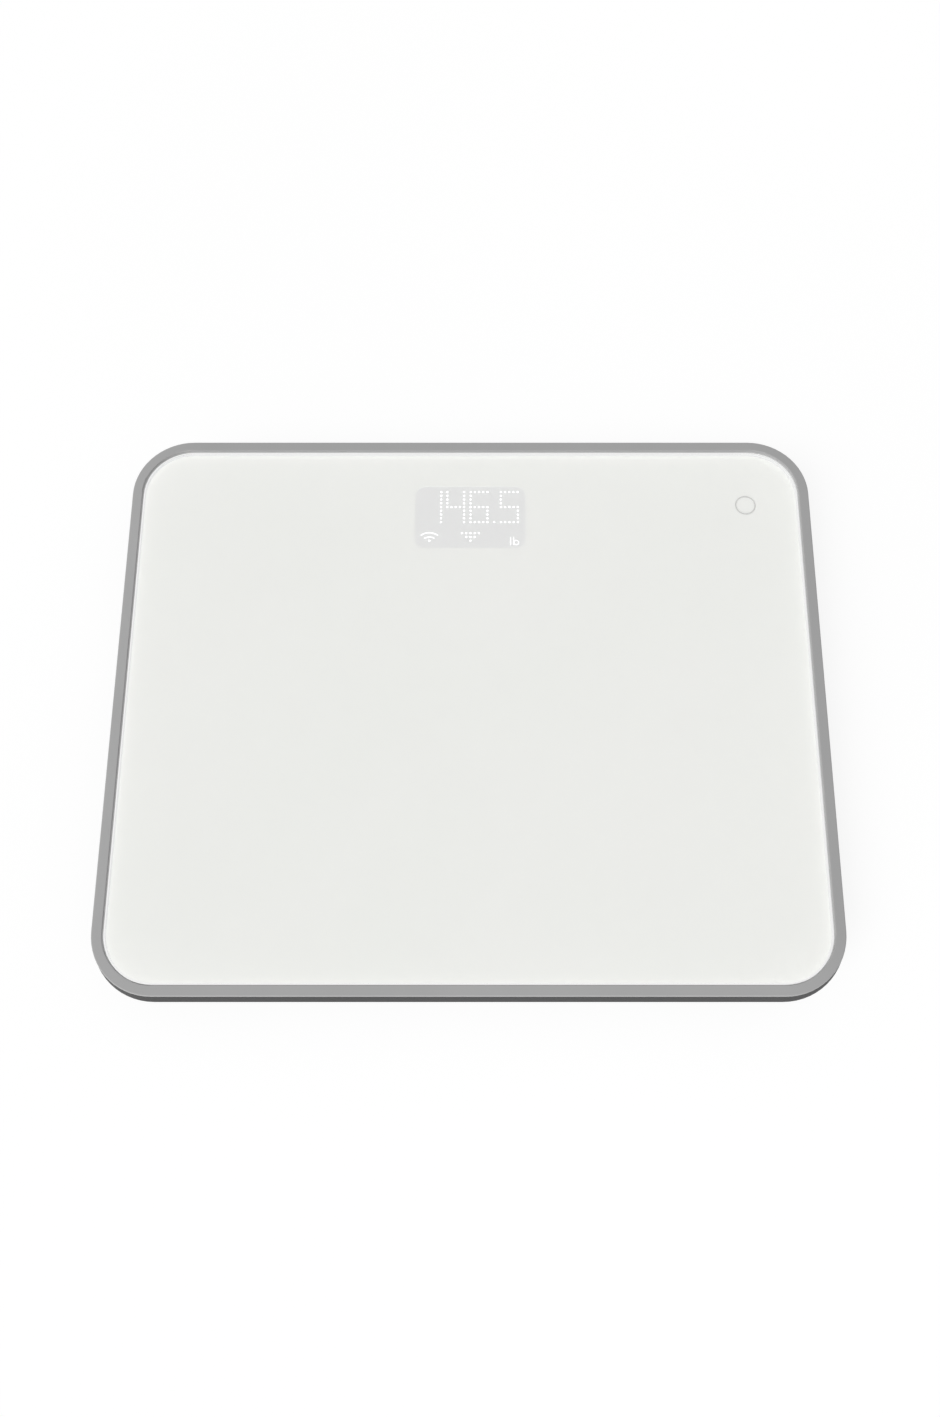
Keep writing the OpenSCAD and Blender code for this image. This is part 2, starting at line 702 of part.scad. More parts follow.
module load_cell() color(STEEL) translate([0, 0, seat_z]) linear_extrude(cell_plate_t)
    difference() {
        round_rect(cell_plate, cell_plate, 5);
        difference() {
            square(cell_plate - 2 * cell_frame, center = true);
            translate([-cell_plate / 2, -tongue_w / 2]) square([cell_plate / 2 + 7, tongue_w]);
        }
        for (a = [45:90:315]) rotate(a) translate([18.2, 0]) circle(1.3);
    }

module load_cell_carrier() color(NATURAL) difference() {
    union() {
        slab(carrier_plate, carrier_plate, 5, carrier_z, carrier_z + carrier_plate_t);
        tube(carrier_r - 1.8, carrier_r, carrier_z, print_low_z);
        for (a = [0, 90]) rotate([0, 0, a])
            translate([-carrier_r + 1, -0.8, carrier_z + 3]) cube([2 * carrier_r - 2, 1.6,
                print_low_z - carrier_z - 3]);
        for (y = [-1, 1]) {
            translate([0, y * ear_dist]) rod(ear_r, carrier_z, carrier_z + ear_t);
            translate([-2.4, y > 0 ? 16 : -ear_dist, carrier_z]) cube([4.8, ear_dist - 16, ear_t]);
        }
    }
    // Room for the tongue to bend, and for the cable
    translate([-13, -7, carrier_z - 1]) cube([24, 14, 4]);
    translate([-24, -2, carrier_z - 1]) cube([14, 4, 4.4]);
    for (y = [-ear_dist, ear_dist]) translate([0, y])
        rod(ear_screw_r + fit, carrier_z - 1, carrier_z + ear_t + 1);
}

module strain_gauge() color("white") translate([-7, 0, carrier_z]) {
    translate([-3, -2, 0]) cube([6, 4, 0.15]);
    rod(2.6, 0.1, 0.6);
}

module carrier_screws() color(STEEL) for (c = CORNERS) at_foot(c)
    for (y = [-ear_dist, ear_dist]) translate([0, y])
        screw(carrier_z + ear_t, board_head_r, 1.3, ear_screw_r, 5);

module cell_cable(c) color("dimgray") mirror([c[1] == "l" ? 1 : 0, 0, 0])
    swept(smooth(c[0] == "f" ? FRONT_CABLE : REAR_CABLE), cable_r, 8);

// ---------------------------------------------------------------- assembly

glass_top();
glass_print();
glass_tape();
frame();
base_shell();
case_screws();
battery_door();
for (i = [1:4]) battery(i);
battery_springs();
battery_contacts();
battery_wires();
main_pcb();
wifi_module();
ic_chips();
pcb_passives();
connectors();
pcb_screws();
tact_switches();
unit_button();
unit_plunger();
sync_button();
sync_plunger();
display_window();
display_reflector();
display_gasket();
display_leds();
display_pcb();
display_screws();
flex_cable();
carrier_screws();
for (c = CORNERS) {
    at_foot(c) foot_pad();
    at_foot(c) foot_cup();
    at_foot(c) load_cell();
    at_foot(c) load_cell_carrier();
    at_foot(c) strain_gauge();
    cell_cable(c);
}
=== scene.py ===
"""Looks for a digital bathroom scale: glass over a printed back, a grey rim, a dark lower
housing, a lit dot display, and everything that shows when the battery door opens.
Lengths are metres in the frame's own axes: +X right, +Y to the display end, +Z up."""
import json
import math

import bmesh
import bpy
from mathutils import Matrix, Vector

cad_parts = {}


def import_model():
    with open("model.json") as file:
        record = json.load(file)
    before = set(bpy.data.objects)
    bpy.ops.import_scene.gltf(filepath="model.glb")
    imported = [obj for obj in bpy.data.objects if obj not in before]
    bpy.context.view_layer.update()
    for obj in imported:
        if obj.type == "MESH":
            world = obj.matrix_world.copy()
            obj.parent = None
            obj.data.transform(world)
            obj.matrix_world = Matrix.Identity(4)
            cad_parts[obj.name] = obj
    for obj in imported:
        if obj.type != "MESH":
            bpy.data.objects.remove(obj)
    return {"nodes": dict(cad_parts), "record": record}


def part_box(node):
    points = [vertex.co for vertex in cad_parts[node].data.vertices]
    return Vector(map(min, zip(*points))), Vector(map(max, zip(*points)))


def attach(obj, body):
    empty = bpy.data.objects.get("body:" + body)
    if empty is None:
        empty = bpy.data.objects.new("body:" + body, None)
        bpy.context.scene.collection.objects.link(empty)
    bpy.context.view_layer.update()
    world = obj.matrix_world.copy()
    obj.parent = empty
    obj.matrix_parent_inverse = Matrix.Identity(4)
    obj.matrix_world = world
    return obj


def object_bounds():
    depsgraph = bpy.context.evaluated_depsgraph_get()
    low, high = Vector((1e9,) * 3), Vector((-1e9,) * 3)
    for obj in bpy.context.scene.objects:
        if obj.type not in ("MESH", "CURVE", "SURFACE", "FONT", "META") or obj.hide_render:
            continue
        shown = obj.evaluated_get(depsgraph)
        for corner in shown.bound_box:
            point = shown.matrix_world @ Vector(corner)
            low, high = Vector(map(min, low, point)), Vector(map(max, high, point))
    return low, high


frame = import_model()
CAD_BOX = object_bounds()
NODES = frame["nodes"]
MM = 0.001
WHITE = (1.0, 1.0, 1.0, 1.0)
HOUSING = "housing"


# ------------------------------------------------------------------ node helpers

class Shader:
    """One material and short ways to add nodes to it. Patterns follow the object's own
    coordinates, so they stay on the piece when its body moves."""

    def __init__(self, name):
        self.mat = bpy.data.materials.new(name)
        self.mat.use_nodes = True
        self.tree = self.mat.node_tree
        self.tree.nodes.clear()
        self.place = self.add("ShaderNodeTexCoord").outputs["Object"]
        self.out = self.add("ShaderNodeOutputMaterial")

    def add(self, kind, settings=None, **inputs):
        """A node, with its settings and its inputs by name. An input is a value or a socket."""
        node = self.tree.nodes.new(kind)
        for key, value in (settings or {}).items():
            setattr(node, key, value)
        for key, value in inputs.items():
            self.feed(node.inputs[key.replace("_", " ")], value)
        return node

    def feed(self, socket, value):
        """Links a socket to an input, or sets the input to a plain value."""
        if isinstance(value, bpy.types.NodeSocket):
            self.tree.links.new(value, socket)
        else:
            socket.default_value = value

    def noise(self, size, detail=3.0, stretch=(1, 1, 1)):
        """Noise from 0 to 1 whose blobs are about size across."""
        vector = self.place
        if stretch != (1, 1, 1):
            vector = self.add("ShaderNodeMapping", Vector=vector, Scale=stretch).outputs[0]
        return self.add("ShaderNodeTexNoise", Vector=vector, Scale=1 / size, Detail=detail,
                        Roughness=0.55).outputs["Fac"]

    def spread(self, value, low, high, start=0.3, end=0.7):
        """value, spread from start..end over low..high."""
        node = self.add("ShaderNodeMapRange", Value=value)
        for key, number in zip(("From Min", "From Max", "To Min", "To Max"),
                               (start, end, low, high)):
            node.inputs[key].default_value = number
        return node.outputs[0]

    def maths(self, operation, *values):
        """One step of arithmetic."""
        node = self.add("ShaderNodeMath", {"operation": operation})
        for socket, value in zip(node.inputs, values):
            self.feed(socket, value)
        return node.outputs[0]

    def blend(self, share, a, b):
        """Colour a where share is 0 and b where it is 1."""
        node = self.add("ShaderNodeMix", {"data_type": "RGBA"})
        self.feed(node.inputs[0], share)
        for socket, colour in ((node.inputs[6], a), (node.inputs[7], b)):
            self.feed(socket, colour if isinstance(colour, bpy.types.NodeSocket)
                      else (*colour, 1.0))
        return node.outputs[2]

    def axis(self, name):
        """One coordinate of the surface point."""
        return self.add("ShaderNodeSeparateXYZ", Vector=self.place).outputs[name]

    def bump(self, height, depth, strength=1.0):
        """A normal for a relief that is depth deep."""
        node = self.add("ShaderNodeBump", Height=height, Distance=depth, Strength=strength)
        return node.outputs[0]

    def finish(self, colour, rough, normal=None, **fixed):
        """Ends the material in one Principled shader. fixed are plain values by socket name."""
        node = self.add("ShaderNodeBsdfPrincipled")
        self.feed(node.inputs["Base Color"], colour)
        self.feed(node.inputs["Roughness"], rough)
        if normal:
            self.feed(node.inputs["Normal"], normal)
        for key, value in fixed.items():
            node.inputs[key.replace("_", " ")].default_value = value
        self.tree.links.new(node.outputs[0], self.out.inputs[0])
        return self.mat


def shade(colour, factor):
    """A lighter or darker version of a colour."""
    return tuple(min(c * factor, 1.0) for c in colour)


def moulded(name, colour, rough=(0.4, 0.5), grain=0.35, depth=0.012, vary=0.05, **fixed):
    """Moulded plastic: spark-textured grain in mm, faint flow shading and uneven gloss."""
    flow_size = 38 * MM
    fine_share = 0.35
    s = Shader(name)
    fine = s.noise(grain * MM, 2.0)
    flow = s.noise(flow_size, 2.0)
    tone = s.maths("ADD", s.maths("MULTIPLY", fine, fine_share),
                   s.maths("MULTIPLY", flow, 1 - fine_share))
    base = s.blend(s.spread(tone, 0, 1), shade(colour, 1 - vary), shade(colour, 1 + vary))
    return s.finish(base, s.spread(fine, *rough), s.bump(fine, depth * MM), **fixed)


def brushed(name, colour, rough=(0.25, 0.4), line=0.25, along=(0.04, 1, 1)):
    """Rolled or plated metal with fine lines along X and a few soft stains."""
    vary = 0.08
    stain_size = 7 * MM
    s = Shader(name)
    lines = s.noise(line * MM, 4.0, along)
    stain = s.noise(stain_size)
    base = s.blend(s.spread(lines, 0, 1), shade(colour, 1 - vary), shade(colour, 1 + vary))
    base = s.blend(s.spread(stain, 0, 0.35, 0.5, 0.8), base, shade(colour, 0.72))
    return s.finish(base, s.spread(lines, *rough), s.bump(lines, 0.004 * MM), Metallic=1.0)


# ------------------------------------------------------------------ materials

def platform_glass():
    """Clear tempered glass with a trace of the waviness that tempering leaves."""
    s = Shader("platform_glass")
    wave = s.noise(60 * MM, 4.0)
    tint = s.blend(s.spread(wave, 0, 1), (0.995, 1.0, 0.996), (1.0, 1.0, 1.0))
    glass = s.add("ShaderNodeBsdfPrincipled", Base_Color=tint)
    for key, value in (("Roughness", 0.0), ("IOR", 1.5), ("Transmission Weight", 1.0)):
        glass.inputs[key].default_value = value
    s.feed(glass.inputs["Normal"], s.bump(wave, 0.02 * MM, 0.25))
    s.tree.links.new(glass.outputs[0], s.out.inputs[0])
    return s.mat


# The lamp's light doesn't follow the glass's refraction. These glows of the printed face and of
# the glass's ground edge are painted light that makes up for what that loses.
UNDER_GLASS_PAINTED_GLOW = 0.315
EDGE_PAINTED_GLOW = 0.68
# Glows of the display's dots, the floor and the backdrop
DOT_GLOW = 0.86
FLOOR_GLOW = 0.86
WALL_GLOW = 0.97


def back_print():
    """Pale grey-white screen print: the weave of the screen and a few soft clouds. Its glow is
    painted light under the glass.
    """
    s = Shader("back_print")
    weave = s.add("ShaderNodeTexChecker", Vector=s.place, Scale=1 / (0.22 * MM)).outputs["Fac"]
    cloud = s.noise(45 * MM, 3.0)
    speck = s.noise(0.5 * MM, 2.0)
    base = s.blend(s.spread(cloud, 0, 1), (0.865, 0.871, 0.846), (0.875, 0.881, 0.857))
    base = s.blend(s.spread(speck, 0, 0.25), base, (0.853, 0.859, 0.835))
    return s.finish(base, s.spread(speck, 0.45, 0.6), s.bump(weave, 0.004 * MM, 0.3),
                    Emission_Color=(1.0, 1.0, 0.972, 1.0), Emission_Strength=UNDER_GLASS_PAINTED_GLOW)


def ground_edge():
    """The glass's finely ground edge, which scatters light. Its white look is painted light: a
    dark grey face under a strong white glow.
    """
    s = Shader("ground_edge")
    fine = s.noise(0.15 * MM, 3.0)
    base = s.blend(s.spread(fine, 0, 1), (0.22, 0.224, 0.22), (0.26, 0.264, 0.26))
    return s.finish(base, s.spread(fine, 0.4, 0.6), s.bump(fine, 0.01 * MM),
                    Emission_Color=WHITE, Emission_Strength=EDGE_PAINTED_GLOW)


def window_film():
    """The display's translucent diffuser: a shade darker than the print, finely ribbed. Its glow
    is painted light under the glass.
    """
    s = Shader("window_film")
    ribs = s.maths("SINE", s.maths("MULTIPLY", s.axis("Y"), 2 * math.pi / (0.4 * MM)))
    cloud = s.noise(22 * MM, 3.0)
    fine = s.noise(0.3 * MM, 2.0)
    base = s.blend(s.spread(cloud, 0, 1), (0.787, 0.788, 0.783), (0.804, 0.805, 0.800))
    base = s.blend(s.spread(fine, 0, 0.2), base, (0.745, 0.745, 0.745))
    return s.finish(base, s.spread(fine, 0.35, 0.5), s.bump(ribs, 0.006 * MM, 0.4),
                    Emission_Color=(0.93, 0.93, 0.93, 1.0), Emission_Strength=UNDER_GLASS_PAINTED_GLOW)


def lit():
    """The face of a lit display dot."""
    s = Shader("lit_dots")
    fine = s.noise(0.25 * MM, 2.0)
    base = s.blend(s.spread(fine, 0, 1), (0.93, 0.94, 0.95), (0.99, 0.99, 1.0))
    return s.finish(base, s.spread(fine, 0.4, 0.55), s.bump(fine, 0.004 * MM),
                    Emission_Color=(0.98, 0.99, 1.0, 1.0), Emission_Strength=DOT_GLOW)


def mark_ink(name, colour):
    """Ink of a mark that is printed on the back of the glass. Its glow is painted light under the
    glass.
    """
    s = Shader(name)
    fine = s.noise(0.3 * MM, 2.0)
    return s.finish(s.blend(s.spread(fine, 0, 1), shade(colour, 0.98), shade(colour, 1.02)),
                    s.spread(fine, 0.4, 0.55), s.bump(fine, 0.003 * MM),
                    Emission_Color=(*colour, 1.0), Emission_Strength=UNDER_GLASS_PAINTED_GLOW)


def foam():
    """Closed-cell foam: dark with fine pores."""
    s = Shader("foam")
    cells = s.add("ShaderNodeTexVoronoi", Vector=s.place, Scale=1 / (0.35 * MM))
    pores = cells.outputs["Distance"]
    base = s.blend(s.spread(pores, 0, 1, 0.0, 0.6), (0.012, 0.012, 0.013), (0.05, 0.05, 0.052))
    return s.finish(base, s.spread(pores, 0.95, 0.8, 0, 0.6), s.bump(pores, 0.08 * MM))


def rubber():
    """Matt rubber with a little dust on it."""
    s = Shader("foot_rubber")
    fine = s.noise(0.25 * MM, 3.0)
    dust = s.noise(5 * MM, 4.0)
    base = s.blend(s.spread(fine, 0, 1), (0.022, 0.022, 0.023), (0.035, 0.035, 0.036))
    base = s.blend(s.spread(dust, 0, 0.4, 0.5, 0.75), base, (0.085, 0.083, 0.08))
    return s.finish(base, s.spread(fine, 0.75, 0.9), s.bump(fine, 0.03 * MM))


def solder_mask():
    """A board: green mask over copper traces that run in two directions, with tinned vias."""
    s = Shader("board")
    brick = s.add("ShaderNodeTexBrick", {"offset": 0.37, "offset_frequency": 2}, Vector=s.place,
                  Scale=1 / (9 * MM))
    for key, number in (("Mortar Size", 0.02), ("Mortar Smooth", 0.2), ("Brick Width", 0.62),
                        ("Row Height", 0.16)):
        brick.inputs[key].default_value = number
    vias = s.add("ShaderNodeTexVoronoi", Vector=s.place, Scale=1 / (3.2 * MM),
                 Randomness=0.8).outputs["Distance"]
    via = s.spread(vias, 1, 0, 0.09, 0.12)
    trace = s.maths("SUBTRACT", 1.0, brick.outputs["Fac"])
    fine = s.noise(0.4 * MM, 2.0)
    base = s.blend(trace, (0.03, 0.16, 0.075), (0.008, 0.075, 0.03))
    base = s.blend(s.spread(fine, 0, 0.2), base, (0.01, 0.05, 0.02))
    base = s.blend(via, base, (0.62, 0.6, 0.52))
    height = s.maths("ADD", s.maths("MULTIPLY", trace, -0.5), via)
    return s.finish(base, s.spread(fine, 0.25, 0.36), s.bump(height, 0.03 * MM),
                    Coat_Weight=0.3)


def battery_sleeve(name, nub_side):
    """A battery's printed sleeve: dark body, a pale band by its nub and a bare steel nub end.
    nub_side is 1 for a cell whose nub is on the right and -1 for the left."""
    band_start, band_end = 11 * MM, 10.7 * MM
    steel_start, steel_end = 1.4 * MM, 1.2 * MM
    s = Shader(name)
    low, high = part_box("battery_1")
    along = s.maths("MULTIPLY", s.axis("X"), float(nub_side))
    reach = (high.x - low.x) / 2
    band = s.spread(along, 0, 1, reach - band_start, reach - band_end)
    steel = s.spread(along, 0, 1, reach - steel_start, reach - steel_end)
    fine = s.noise(0.5 * MM, 3.0)
    body = s.blend(s.spread(fine, 0, 1), (0.018, 0.03, 0.05), (0.024, 0.038, 0.062))
    base = s.blend(band, body, (0.62, 0.60, 0.55))
    base = s.blend(steel, base, (0.66, 0.66, 0.65))
    return s.finish(base, s.spread(fine, 0.22, 0.34), s.bump(fine, 0.006 * MM), Metallic=0.35,
                    Coat_Weight=0.4)


def floor_paint():
    """The floor's even paint. It gives off most of its own light, so shadows on it are faint."""
    s = Shader("studio_floor")
    cloud = s.noise(0.7, 2.0)
    fine = s.noise(2 * MM, 2.0)
    base = s.blend(s.spread(cloud, 0, 1), (0.17, 0.17, 0.17), (0.19, 0.19, 0.19))
    return s.finish(base, s.spread(fine, 0.75, 0.85), s.bump(fine, 0.02 * MM, 0.3),
                    Specular_IOR_Level=0.0, Emission_Color=WHITE, Emission_Strength=FLOOR_GLOW)


def wall_paint():
    """The backdrop's paint, as bright as the floor is in the studio's light."""
    s = Shader("backdrop")
    cloud = s.noise(0.9, 2.0)
    base = s.blend(s.spread(cloud, 0, 1), (0.03, 0.03, 0.03), (0.04, 0.04, 0.04))
    return s.finish(base, s.spread(cloud, 0.8, 0.9), Specular_IOR_Level=0.0,
                    Emission_Color=WHITE, Emission_Strength=WALL_GLOW)


RIM = (0.469, 0.469, 0.469)
SIDE = (0.060, 0.060, 0.061)
STEEL = (0.62, 0.63, 0.65)

MATERIALS = {
    "platform_glass": platform_glass(),
    "ground_edge": ground_edge(),
    "back_print": back_print(),
    "foam_tape": foam(),
    "rim_plastic": moulded("rim_plastic", RIM, (0.42, 0.52), grain=0.3, depth=0.01, vary=0.03),
    "base_plastic": moulded("base_plastic", SIDE, (0.55, 0.68), grain=0.5, depth=0.03,
                            Specular_IOR_Level=0.25),
    "foot_plastic": moulded("foot_plastic", shade(SIDE, 0.7), (0.45, 0.6), grain=0.4, depth=0.02),
    "foot_rubber": rubber(),
    "screw_steel": brushed("screw_steel", STEEL, line=0.15, along=(1, 1, 1)),
    "cell_steel": brushed("cell_steel", STEEL, (0.3, 0.45)),
    "contact_metal": brushed("contact_metal", (0.72, 0.70, 0.65), (0.18, 0.3), line=0.2),
    "shield_metal": brushed("shield_metal", (0.70, 0.70, 0.68), (0.28, 0.4)),
    "red_jacket": moulded("red_jacket", (0.45, 0.02, 0.02), (0.3, 0.42), grain=0.4),
    "wire_jacket": moulded("wire_jacket", (0.02, 0.02, 0.022), (0.3, 0.42), grain=0.4),
    "cable_jacket": moulded("cable_jacket", (0.06, 0.06, 0.063), (0.35, 0.5), grain=0.5),
    "board": solder_mask(),
    "chip_black": moulded("chip_black", (0.02, 0.02, 0.021), (0.5, 0.65), grain=0.12),
    "component_mix": moulded("component_mix", (0.42, 0.34, 0.24), (0.3, 0.45), grain=0.3),
    "natural_plastic": moulded("natural_plastic", (0.74, 0.73, 0.68), (0.4, 0.52), grain=0.4),
    "button_plastic": moulded("button_plastic", RIM, (0.45, 0.55), grain=0.25),
    "plunger_plastic": moulded("plunger_plastic", (0.36, 0.2, 0.09), (0.35, 0.5), grain=0.3),
    "window_film": window_film(),
    "led_package": moulded("led_package", (0.82, 0.72, 0.36), (0.25, 0.4), grain=0.2),
    "flex_film": moulded("flex_film", (0.42, 0.17, 0.03), (0.2, 0.32), grain=0.5,
                         Coat_Weight=0.4),
    "battery_jacket": battery_sleeve("battery_right", 1),
    "battery_left": battery_sleeve("battery_left", -1),
    "gauge_silicone": moulded("gauge_silicone", (0.78, 0.78, 0.76), (0.25, 0.4), grain=0.6),
    "lit_dots": lit(),
    "mark_grey": mark_ink("mark_grey", (0.67, 0.67, 0.66)),
    "mark_pale": mark_ink("mark_pale", (0.93, 0.93, 0.92)),
    "floor": floor_paint(),
    "backdrop": wall_paint(),
}


def dress(node, material):
    """Gives a whole node a material."""
    slots = NODES[node].data.materials
    slots.clear()
    slots.append(MATERIALS[material])


for entry in frame["record"]["subparts"]:
    dress(entry["node"], entry["material_slot"])
for left_cell in ("battery_1", "battery_3"):
    dress(left_cell, "battery_left")


def dress_faces(node, material, chosen):
    """Gives the faces that chosen picks a second material."""
    mesh = NODES[node].data
    mesh.materials.append(MATERIALS[material])
    for face in mesh.polygons:
        if chosen(face):
            face.material_index = len(mesh.materials) - 1


def loose_parts(node):
    """The faces of each separate part of a node. Corners at one place count as one corner."""
    nearness = 0.002 * MM
    mesh = NODES[node].data
    owner = {}

    def root(key):
        owner.setdefault(key, key)
        while owner[key] != key:
            owner[key] = owner[owner[key]]
            key = owner[key]
        return key

    def corners(face):
        return [tuple(round(c / nearness) for c in mesh.vertices[v].co) for v in face.vertices]

    for face in mesh.polygons:
        first, *others = corners(face)
        for other in others:
            owner[root(other)] = root(first)
    parts = {}
    for face in mesh.polygons:
        parts.setdefault(root(corners(face)[0]), []).append(face)
    return list(parts.values())


def dress_parts(node, material, chosen):
    """Gives the separate parts that chosen picks, by their face centres, a second material."""
    picked = {face.index for part in loose_parts(node)
              if chosen([face.center for face in part]) for face in part}
    dress_faces(node, material, lambda face: face.index in picked)


def dress_low(node, material, height):
    """Gives the faces whose centres are less than height above the node's foot a second
    material."""
    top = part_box(node)[0].z + height
    dress_faces(node, material, lambda face: face.center.z < top)


# These cast no shadow, so the print is lit evenly up to its edges
for see_through in ("glass_top", "frame", "base_shell"):
    NODES[see_through].visible_shadow = False

# The glass's two rounded edges are ground, but not its upright side or its flat faces
UPRIGHT, FLAT = 0.05, 0.999
dress_faces("glass_top", "ground_edge", lambda face: UPRIGHT < abs(face.normal.z) < FLAT)
# Of the two battery wires, the one that stays beyond this line is red
RED_BEYOND_Y = -20 * MM
dress_parts("battery_wires", "red_jacket", lambda places: min(p.y for p in places) > RED_BEYOND_Y)
# A tinned shield on a black board, and tinned leads on black packages
dress_low("wifi_module", "chip_black", 0.9 * MM)
dress_low("ic_chips", "contact_metal", 0.31 * MM)
# The tall parts among the small ones are metal cans
TALL_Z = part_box("pcb_passives")[0].z + 1.2 * MM
dress_parts("pcb_passives", "shield_metal", lambda places: max(p.z for p in places) > TALL_Z)
# Each gauge's foil lies under its blob of silicone
for corner in ("fl", "fr", "rl", "rr"):
    dress_low(f"strain_gauge_{corner}", "flex_film", 0.16 * MM)


# ------------------------------------------------------------------ shapes

def add_object(name, mesh, material):
    """Puts a mesh with one material into the scene."""
    piece = bpy.data.objects.new(name, mesh)
    bpy.context.scene.collection.objects.link(piece)
    mesh.materials.append(MATERIALS[material])
    return piece


def new_piece(name, mesh, material, body=HOUSING):
    """A visible piece that moves with a body and belongs to a material slot."""
    piece = add_object(name, mesh, material)
    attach(piece, body)


def from_bmesh(name, bm):
    """A smooth mesh whose faces all point outward."""
    mesh = bpy.data.meshes.new(name)
    bmesh.ops.recalc_face_normals(bm, faces=bm.faces)
    for face in bm.faces:
        face.smooth = True
    bm.to_mesh(mesh)
    bm.free()
    return mesh


# The display's round dots lie on the window's upper face. Places are counted from its centre.
window_low, window_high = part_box("display_window")
WINDOW = (window_low + window_high) / 2
FACE_Z = window_high.z
PITCH = 2 * MM
DOT_R = 0.52 * MM
DOT_H = 0.06 * MM
DIGIT_LOW = WINDOW.y - 2.6 * MM
ICON_LOW = WINDOW.y - 12.4 * MM
COLS, ROWS = 5, 9
SEGMENTS = {"1": "bc", "4": "fgbc", "6": "afgecd", "5": "afgcd"}
READING = (("1", -22 * MM), ("4", -11.1 * MM), ("6", 0.0), ("5", 14.4 * MM))
POINT_X = 11.2 * MM
SIGNAL_X = -19.4 * MM
WAVES = ((4.3 * MM, 32), (6.6 * MM, 37))
WAVE_DROP = 2.4 * MM
WAVE_W = 0.42 * MM
LETTERS_X, LETTERS_Y = 18.9 * MM, -14.5 * MM
LETTER_H = 3.9 * MM
LETTER_GAP = 1.55 * MM
BOWL_R = 1.15 * MM
STEM_W = 0.36 * MM
BOWL_W = 0.32 * MM


def in_segment(segment, col, row):
    """Whether a dot lies on a digit's segment, a to g."""
    last, top, mid = COLS - 1, ROWS - 1, (ROWS - 1) // 2
    return {"a": row == top, "g": row == mid, "d": row == 0,
            "f": col == 0 and row >= mid, "e": col == 0 and row <= mid,
            "b": col == last and row >= mid, "c": col == last and row <= mid}[segment]


def lit_places():
    """Centres of the lit dots: the reading, its point, the down arrow and the signal's dot."""
    for digit, x0 in READING:
        for col in range(COLS):
            for row in range(ROWS):
                if any(in_segment(s, col, row) for s in SEGMENTS[digit]):
                    yield WINDOW.x + x0 + col * PITCH, DIGIT_LOW + row * PITCH
    yield WINDOW.x + POINT_X, DIGIT_LOW
    for row in range(3):
        for col in range(-row, row + 1):
            yield WINDOW.x + col * PITCH, ICON_LOW + row * PITCH
    yield WINDOW.x + SIGNAL_X, ICON_LOW


def add_dome(bm, x, y, z, radius, height):
    """A low dome: rings of vertices that fall off towards a round rim."""
    sides, rings = 20, 3

    def ring(r, lift):
        return [bm.verts.new((x + r * math.cos(a), y + r * math.sin(a), z + lift))
                for a in (2 * math.pi * k / sides for k in range(sides))]

    hoops = [ring(radius, 0.0)]
    for k in range(rings):
        angle = math.pi / 2 * (k + 1) / (rings + 1)
        hoops.append(ring(radius * math.cos(angle), height * math.sin(angle)))
    for low, high in zip(hoops, hoops[1:]):
        for k in range(sides):
            n = (k + 1) % sides
            bm.faces.new((low[k], low[n], high[n], high[k]))
    bm.faces.new(hoops[-1])
    bm.faces.new(reversed(hoops[0]))


def add_stroke(bm, path, width, z, height):
    """A flat stroke with round ends along a path in the plane, with its edge chamfered."""
    cap_steps = 6
    chamfer = height * 0.4

    def side(i):
        a, b = path[max(i - 1, 0)], path[min(i + 1, len(path) - 1)]
        along = (Vector(b) - Vector(a)).normalized()
        return Vector((-along.y, along.x))

    def cap(end, start):
        out = start - Vector(end)
        return [Vector(end) + Matrix.Rotation(-math.pi * k / cap_steps, 2) @ out
                for k in range(1, cap_steps)]

    def outline(half):
        left = [Vector(p) + side(i) * half for i, p in enumerate(path)]
        right = [Vector(p) - side(i) * half for i, p in enumerate(path)]
        return left + cap(path[-1], left[-1]) + right[::-1] + cap(path[0], right[0])

    rings = [[bm.verts.new((*p, z + lift)) for p in outline(half)]
             for half, lift in ((width / 2, 0.0), (width / 2, height - chamfer),
                                (width / 2 - chamfer, height))]
    for low, high in zip(rings, rings[1:]):
        for k in range(len(low)):
            n = (k + 1) % len(low)
            bm.faces.new((low[k], low[n], high[n], high[k]))
    bm.faces.new(rings[-1])
    bm.faces.new(reversed(rings[0]))


def arc(centre, radius, start, end, steps):
    """Points on an arc, with its angles in degrees."""
    return [(centre[0] + radius * math.cos(math.radians(start + (end - start) * k / steps)),
             centre[1] + radius * math.sin(math.radians(start + (end - start) * k / steps)))
            for k in range(steps + 1)]


def lit_dots():
    """All the round dots of the reading and its icons."""
    bm = bmesh.new()
    for x, y in lit_places():
        add_dome(bm, x, y, FACE_Z, DOT_R, DOT_H)
    new_piece("lit_dots", from_bmesh("lit_dots", bm), "lit_dots")


def signal_waves():
    """Two arcs over the signal's dot."""
    bm = bmesh.new()
    centre = (WINDOW.x + SIGNAL_X, ICON_LOW - WAVE_DROP)
    for radius, half_angle in WAVES:
        add_stroke(bm, arc(centre, radius, 90 + half_angle, 90 - half_angle, 16), WAVE_W, FACE_Z,
                   DOT_H)
    new_piece("signal_waves", from_bmesh("signal_waves", bm), "lit_dots")


def unit_letters():
    """The unit, lb, in plain strokes."""
    bm = bmesh.new()
    x, y = WINDOW.x + LETTERS_X, WINDOW.y + LETTERS_Y
    for stem in (x, x + LETTER_GAP):
        upright = [(stem, y), (stem, y + LETTER_H / 2), (stem, y + LETTER_H)]
        add_stroke(bm, upright, STEM_W, FACE_Z, DOT_H)
    bowl = arc((x + LETTER_GAP + BOWL_R, y + BOWL_R), BOWL_R, 180, -180, 28)
    add_stroke(bm, bowl, BOWL_W, FACE_Z, DOT_H * 0.9)
    new_piece("unit_letters", from_bmesh("unit_letters", bm), "lit_dots")


lit_dots()
signal_waves()
unit_letters()


# ------------------------------------------------------------------ printed marks

